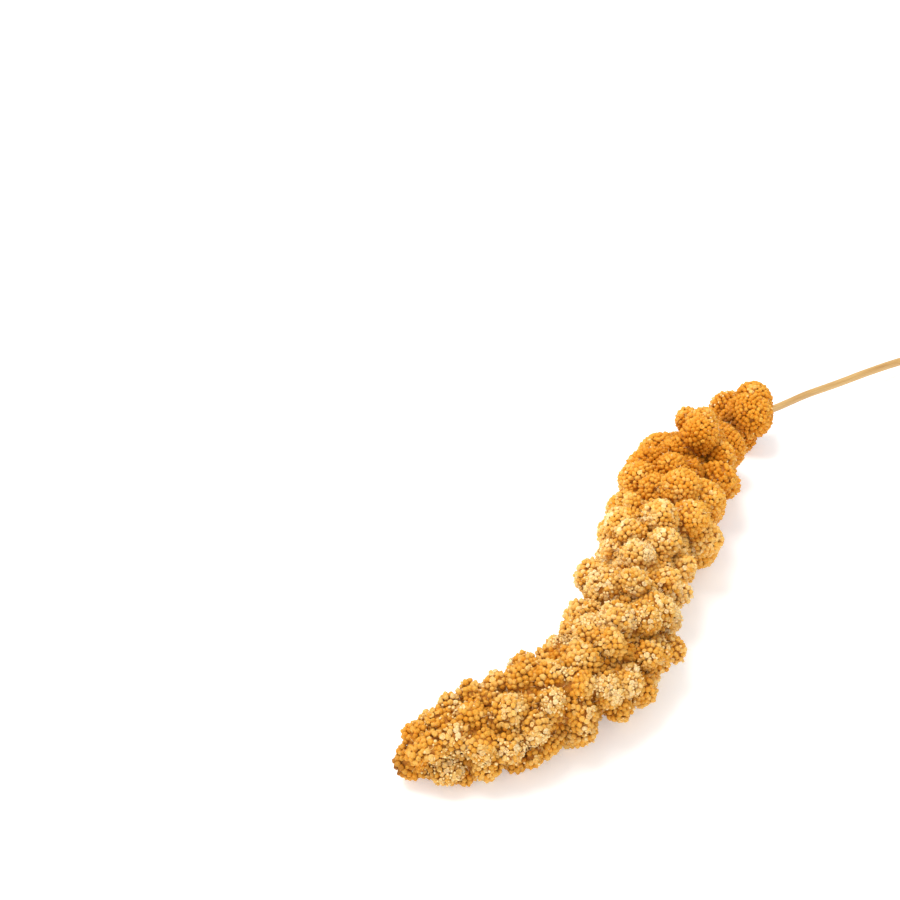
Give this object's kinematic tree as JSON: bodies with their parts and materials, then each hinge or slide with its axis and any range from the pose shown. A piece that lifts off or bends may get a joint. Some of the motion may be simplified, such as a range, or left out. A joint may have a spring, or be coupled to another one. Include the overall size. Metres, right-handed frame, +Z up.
{
  "type": "millet seed head",
  "caption": "Dried millet seed head, a curved spike of seed clusters on a cut straw stem, lying on a flat surface.",
  "frame": {"origin": "on the surface that the head lies on, at the flat spot under the middle of the head", "axes": "+X from the tip of the head to the cut end of the stem, +Z up from the surface"},
  "size_m": [0.3766, 0.0911, 0.0408],
  "materials": {
    "seeds": "matt, golden orange grains with cream chaff and brown gaps",
    "straw": "dry straw with a faint gloss and fine lengthwise ridges"
  },
  "bodies": {
    "root": {"seed_head": "seeds", "basal_cluster": "seeds", "stem": "straw"}
  },
  "joints": []
}
